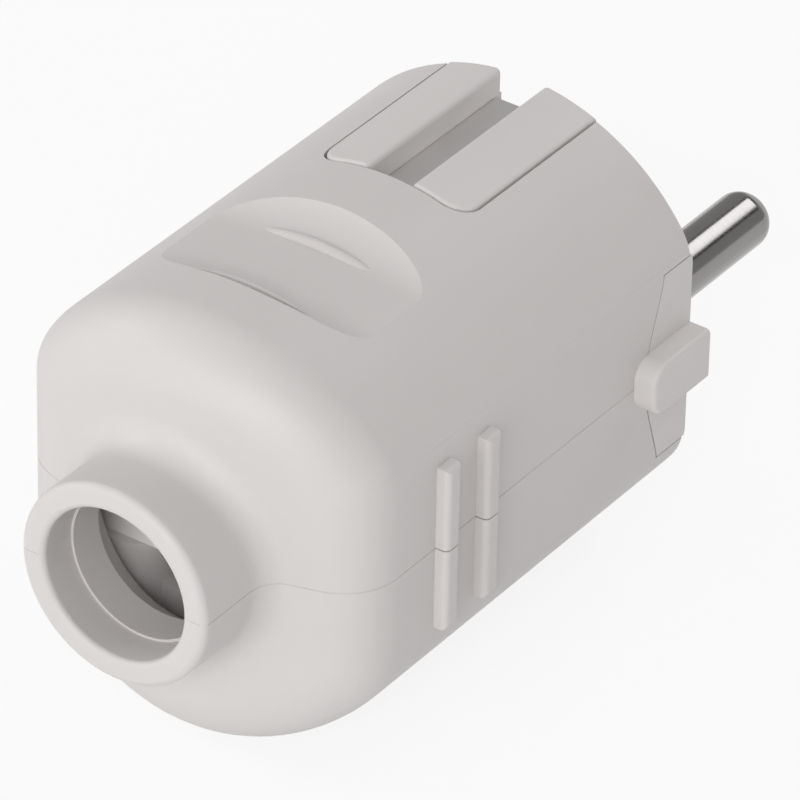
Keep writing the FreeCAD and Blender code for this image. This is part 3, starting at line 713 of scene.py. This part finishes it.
def head_profile(radius, length, head_radius, head):
    """Half of a screw's outline, from its tip up to its crown: radius and height of each point."""
    tip = TIP_SHARE * radius
    crown = CROWN_SHARE * head
    points = [(0.0, -length), (tip, -length), (radius, radius - tip - length), (radius, 0.0)]
    points += [(head_radius - HEAD_BEVEL, 0.0), (head_radius, HEAD_BEVEL)]
    for i in range(CROWN_STEPS + 1):
        angle = math.radians(90.0 * i / CROWN_STEPS)
        across = head_radius - crown + crown * math.cos(angle)
        points.append((across, head - crown + crown * math.sin(angle)))
    points.append((0.0, head))
    return points


def make_screws(name, kind, settings, material):
    """One screw on the plug's middle plane, or two beside it, in the place of a CAD node."""
    corners = [kind.turn.inverted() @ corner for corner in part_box(kind.node)]
    low, high = (Vector(tuple(map(limit, *corners))) for limit in (min, max))
    spacing = max(0.0, high.x - low.x - 2.0 * kind.head_radius)
    seat = high.z - kind.head_height
    length = seat - low.z
    placement = kind.turn @ Matrix.Translation((-spacing / 2.0, (low.y + high.y) / 2.0, seat))
    depth = THREAD_DEPTH * kind.radius
    core = kind.radius - THREAD_PROUD * depth
    points = head_profile(core, length, kind.head_radius, kind.head_height)
    profile = bpy.data.meshes.new(name + "_profile")
    profile.from_pydata(
        [(x - TURN_RADIUS, -y, 0.0) for x, y in points],
        [(i, i + 1) for i in range(len(points) - 1)],
        [],
    )
    source = link(name + "_source", profile)
    group = bpy.data.node_groups.get(SCREW_TREE) or screw_tree()
    modifier = source.modifiers.new("Screw", "NODES")
    modifier.node_group = group
    inputs = {
        "Thread radius": kind.radius,
        "Thread depth": depth,
        "Pitch": settings.pitch * kind.radius,
        "Length": length - THREAD_PLAIN * kind.radius,
        "Head height": kind.head_height,
        "Head radius": kind.head_radius,
        "Slot width": settings.slot_width,
        "Slot depth": settings.slot_depth,
        "Spacing": spacing,
        "Segments": settings.segments,
        "Count": 2 if spacing > kind.head_radius else 1,
        "Finish": material,
    }
    for socket in group.interface.items_tree:
        if socket.in_out == "INPUT" and socket.name in inputs:
            modifier[socket.identifier] = inputs[socket.name]
    evaluated = source.evaluated_get(bpy.context.evaluated_depsgraph_get())
    mesh = bpy.data.meshes.new_from_object(evaluated)
    bpy.data.objects.remove(source)
    mesh.name = name
    mesh.transform(placement)
    mesh.set_sharp_from_angle(angle=SCREW_SHARP)
    piece = link(name, mesh)
    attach(piece, BODY)
    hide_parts(kind.node)


# Stage


# What the lamps face, in metres: the housing's middle and the right pin
HOUSING_POINT = Vector((0.0, -0.03, 0.0))
PIN_POINT = Vector((0.0095, 0.010, 0.0))

# Places and sizes of the lamps, in metres
KEY_PLACE = Vector((0.06, -0.92, 0.17))
KEY_SIZE = (0.5, 0.5)
FILL_PLACE = Vector((0.33, -0.72, 0.45))
FILL_SIZE = (0.3, 0.3)
SIDE_PLACE = Vector((-0.77, -0.30, 0.39))
SIDE_SIZE = (0.4, 0.4)

# The front lamp and the dark card behind it stand one way from the right pin
FRONT_WAY = Vector((0.14, 0.678, 0.72))
FRONT_DISTANCE = 0.8
FRONT_SIZE = (0.50, 0.24)
CARD_DISTANCE = 0.86
CARD_SIZE = (0.74, 0.5)
CARD_COLOUR = (0.05, 0.05, 0.05, 1.0)

# The half tunnel in front of the pins: its near and far ends are distances from the right pin's middle
TENT_RADIUS = 0.8
TENT_NEAR = 0.2
TENT_FAR = 1.6
TENT_STEPS = 24
TENT_GLOW = 0.45

# The floor, and how much of its own white it shows to the camera
FLOOR_RADIUS = 3.0
FLOOR_SEGMENTS = 96
FLOOR_GLOW = 0.86

# The camera's place and turn
CAMERA_PLACE = Vector((273.88, -408.64, 322.61)) * MM
CAMERA_AZIMUTH = math.radians(34.87)
CAMERA_ELEVATION = math.radians(34.22)
CAMERA_ROLL = math.radians(1.26)
SENSOR_WIDTH = 36.0
CLIP_NEAR = 0.01
CLIP_FAR = 20.0


def seen_mask(graph):
    """1 for rays that show the background itself: straight, mirrored or through glass."""
    path = graph.tree.nodes.new("ShaderNodeLightPath")
    names = ("Is Camera Ray", "Is Glossy Ray", "Is Transmission Ray")
    straight, mirrored, through = (Value(graph, path.outputs[name]) for name in names)
    return graph.math("MAXIMUM", graph.math("MAXIMUM", straight, mirrored), through)


def make_floor(stage):
    """A wide pale floor under the plug that shows as white ground with a soft shadow."""
    shape = bmesh.new()
    bmesh.ops.create_circle(shape, cap_ends=True, segments=FLOOR_SEGMENTS, radius=FLOOR_RADIUS)
    bmesh.ops.translate(shape, vec=(0.0, 0.0, CAD_BOX[0].z), verts=shape.verts)
    mesh = to_mesh("Floor", shape)
    finish = Finish("Floor paint")
    colour = tuple(stage.floor_colour) + (1.0,)
    paint = finish.node("ShaderNodeBsdfDiffuse", None, {"Color": colour})
    glow = finish.node("ShaderNodeEmission", None, {"Strength": 1.0})
    mixing = {0: FLOOR_GLOW * seen_mask(finish), 1: paint, 2: glow}
    mesh.materials.append(finish.close(finish.node("ShaderNodeMixShader", None, mixing)))
    link("Floor", mesh)


def make_world(scene, stage):
    """Light all round, a little stronger from the left, and white where the background shows."""
    world = bpy.data.worlds.new("Studio")
    world.use_nodes = True
    graph = Graph(world.node_tree)
    mask = seen_mask(graph)
    towards = graph.node("ShaderNodeTexCoord", output="Generated")
    across = graph.node("ShaderNodeSeparateXYZ", None, {"Vector": towards}, "X")
    ambient = stage.ambient * (1.0 - stage.lean * across)
    strength = ambient + (1.0 - ambient) * mask
    white = (1.0, 1.0, 1.0, 1.0)
    light = graph.node("ShaderNodeBackground", None, {"Color": white, "Strength": strength})
    graph.node("ShaderNodeOutputWorld", None, {"Surface": light})
    scene.world = world


def facing(place, target):
    """A placement whose underside looks at a target."""
    turn = (target - place).to_track_quat("-Z", "Y").to_matrix().to_4x4()
    return Matrix.Translation(place) @ turn


def make_lamp(name, place, target, size, power):
    """A soft lamp that faces the plug."""
    data = bpy.data.lights.new(name, "AREA")
    data.shape = "RECTANGLE"
    data.size, data.size_y = size
    data.energy = power
    lamp = link(name, data)
    lamp.matrix_world = facing(place, target)


def reflected(name, shape, shader, sockets):
    """Makes a sheet of the studio that shows only in reflections."""
    mesh = to_mesh(name, shape)
    finish = Finish(name)
    mesh.materials.append(finish.close(finish.node(shader, None, sockets)))
    sheet = link(name, mesh)
    sheet.visible_camera = False
    sheet.visible_diffuse = False
    sheet.visible_transmission = False
    sheet.visible_shadow = False


def make_card(name, place, target, size):
    """A dark card behind the front lamp, which frames its reflection."""
    shape = bmesh.new()
    bmesh.ops.create_grid(shape, x_segments=1, y_segments=1, size=0.5)
    bmesh.ops.scale(shape, vec=(size[0], size[1], 1.0), verts=shape.verts)
    bmesh.ops.transform(shape, matrix=facing(place, target), verts=shape.verts)
    reflected(name, shape, "ShaderNodeBsdfDiffuse", {"Color": CARD_COLOUR})


def make_tent(name, pin):
    """A grey half tunnel in front of the pins."""
    shape = bmesh.new()
    rows = []
    for i in range(TENT_STEPS + 1):
        angle = math.radians(-90.0 + 180.0 * i / TENT_STEPS)
        across = pin.x + TENT_RADIUS * math.sin(angle)
        height = pin.z + TENT_RADIUS * math.cos(angle)
        ends = (pin.y + TENT_NEAR, pin.y + TENT_FAR)
        rows.append([shape.verts.new((across, end, height)) for end in ends])
    for first, second in zip(rows, rows[1:]):
        shape.faces.new((first[0], first[1], second[1], second[0]))
    reflected(name, shape, "ShaderNodeEmission", {"Strength": TENT_GLOW})


def make_camera(scene, stage):
    """The camera behind the plug, above and to its right."""
    right = Vector((math.cos(CAMERA_AZIMUTH), math.sin(CAMERA_AZIMUTH), 0.0))
    back = Vector(
        (
            math.sin(CAMERA_AZIMUTH) * math.cos(CAMERA_ELEVATION),
            -math.cos(CAMERA_AZIMUTH) * math.cos(CAMERA_ELEVATION),
            math.sin(CAMERA_ELEVATION),
        )
    )
    up = back.cross(right)
    level_right = math.cos(CAMERA_ROLL) * right + math.sin(CAMERA_ROLL) * up
    level_up = math.cos(CAMERA_ROLL) * up - math.sin(CAMERA_ROLL) * right
    data = bpy.data.cameras.new("Camera")
    data.sensor_width = SENSOR_WIDTH
    data.lens = stage.focal_length
    data.clip_start = CLIP_NEAR
    data.clip_end = CLIP_FAR
    camera = link("Camera", data)
    turn = Matrix((level_right, level_up, back)).transposed().to_4x4()
    camera.matrix_world = Matrix.Translation(CAMERA_PLACE) @ turn
    scene.camera = camera


# Operators


class PLUG_OT_dress_housing(bpy.types.Operator):
    """Gives the two halves and the pin carrier their moulded finish"""

    bl_idname = "plug.dress_housing"
    bl_label = "Housing"

    def execute(self, context):
        finishes = context.scene.plug_finishes
        texture = (finishes.plastic_roughness, finishes.grain_depth)
        shell = moulded_plastic("Housing plastic", tuple(finishes.housing_colour), *texture, edge_line=True)
        # The carrier's finish holds painted light: a lighter copy of the housing's plastic.
        carrier = moulded_plastic("Carrier plastic with painted light", tuple(finishes.carrier_colour_with_painted_light), *texture)
        dress("upper_shell", shell)
        dress("lower_shell", shell)
        dress("pin_carrier", carrier)
        return {"FINISHED"}


class PLUG_OT_make_ridges(bpy.types.Operator):
    """Makes the fine ridges along the rear edges of the finger scoops"""

    bl_idname = "plug.make_ridges"
    bl_label = "Scoop ridges"

    def execute(self, context):
        shell = bpy.data.materials["Housing plastic"]
        make_ridges("Scoop_ridges", context.scene.plug_ridges, shell)
        return {"FINISHED"}


class PLUG_OT_dress_contacts(bpy.types.Operator):
    """Gives the pins and the earth contact their plating"""

    bl_idname = "plug.dress_contacts"
    bl_label = "Contacts"

    def execute(self, context):
        finishes = context.scene.plug_finishes
        # The pins' dark nickel is painted shade in their reflections.
        pins = plated_metal("Pin nickel with painted shade", tuple(finishes.nickel_colour_with_painted_shade), *PIN_METAL)
        strip = plated_metal("Earth nickel", tuple(finishes.earth_colour), *STRIP_METAL)
        dress("contact_pin_right", pins)
        dress("contact_pin_left", pins)
        dress("earth_strap", strip)
        dress("earth_clamp_plate", strip)
        return {"FINISHED"}


class PLUG_OT_dress_clamp(bpy.types.Operator):
    """Gives the cord clamp's bar and the nut their finishes"""

    bl_idname = "plug.dress_clamp"
    bl_label = "Clamp and nut"

    def execute(self, context):
        finishes = context.scene.plug_finishes
        texture = (CLAMP_ROUGHNESS, finishes.grain_depth)
        # The bar's finish holds painted light on top of its own pale plastic.
        bar = moulded_plastic("Clamp plastic with painted light", tuple(finishes.clamp_colour_with_painted_light), *texture)
        nut = plated_metal("Nut zinc", tuple(finishes.zinc_colour), *NUT_METAL)
        dress("cord_clamp_bar", bar)
        dress("housing_nut", nut)
        return {"FINISHED"}


class PLUG_OT_make_screws(bpy.types.Operator):
    """Makes the threaded screws"""

    bl_idname = "plug.make_screws"
    bl_label = "Screws"

    def execute(self, context):
        scene = context.scene
        zinc = plated_metal("Screw zinc", tuple(scene.plug_finishes.zinc_colour), *SCREW_METAL)
        for name, kind in SCREWS.items():
            make_screws(name, kind, scene.plug_screws, zinc)
        return {"FINISHED"}


class PLUG_OT_make_stage(bpy.types.Operator):
    """Builds the floor, the lights and the camera"""

    bl_idname = "plug.make_stage"
    bl_label = "Stage"

    def execute(self, context):
        scene = context.scene
        stage = scene.plug_stage
        scene.view_settings.view_transform = "Standard"
        make_floor(stage)
        make_world(scene, stage)
        make_lamp("Key", KEY_PLACE, HOUSING_POINT, KEY_SIZE, stage.key_power)
        make_lamp("Fill", FILL_PLACE, HOUSING_POINT, FILL_SIZE, stage.fill_power)
        make_lamp("Side", SIDE_PLACE, HOUSING_POINT, SIDE_SIZE, stage.side_power)
        front_place = PIN_POINT + FRONT_DISTANCE * FRONT_WAY
        make_lamp("Front", front_place, PIN_POINT, FRONT_SIZE, stage.front_power)
        make_card("Dark card", PIN_POINT + CARD_DISTANCE * FRONT_WAY, PIN_POINT, CARD_SIZE)
        make_tent("Grey tent", PIN_POINT)
        make_camera(scene, stage)
        return {"FINISHED"}


# Panel


class PLUG_PT_sidebar(bpy.types.Panel):
    """Lists the plug's pieces"""

    bl_idname = "PLUG_PT_sidebar"
    bl_label = "Plug"
    bl_space_type = "VIEW_3D"
    bl_region_type = "UI"
    bl_category = "Plug"

    def draw(self, context):
        for operator in OPERATORS:
            self.layout.operator(operator.bl_idname)
        scene = context.scene
        for group in (scene.plug_finishes, scene.plug_ridges, scene.plug_screws, scene.plug_stage):
            for name in group.__annotations__:
                self.layout.prop(group, name)


OPERATORS = (
    PLUG_OT_dress_housing,
    PLUG_OT_make_ridges,
    PLUG_OT_dress_contacts,
    PLUG_OT_dress_clamp,
    PLUG_OT_make_screws,
    PLUG_OT_make_stage,
)
GROUPS = (PlugFinishes, PlugRidges, PlugScrews, PlugStage)
CLASSES = GROUPS + OPERATORS + (PLUG_PT_sidebar,)


def register():
    for kind in CLASSES:
        bpy.utils.register_class(kind)
    bpy.types.Scene.plug_finishes = PointerProperty(type=PlugFinishes)
    bpy.types.Scene.plug_ridges = PointerProperty(type=PlugRidges)
    bpy.types.Scene.plug_screws = PointerProperty(type=PlugScrews)
    bpy.types.Scene.plug_stage = PointerProperty(type=PlugStage)


def unregister():
    del bpy.types.Scene.plug_stage
    del bpy.types.Scene.plug_screws
    del bpy.types.Scene.plug_ridges
    del bpy.types.Scene.plug_finishes
    for kind in reversed(CLASSES):
        bpy.utils.unregister_class(kind)


def main():
    register()
    bpy.ops.plug.dress_housing()
    bpy.ops.plug.make_ridges()
    bpy.ops.plug.dress_contacts()
    bpy.ops.plug.dress_clamp()
    bpy.ops.plug.make_screws()
    bpy.ops.plug.make_stage()


if __name__ == "__main__":
    main()
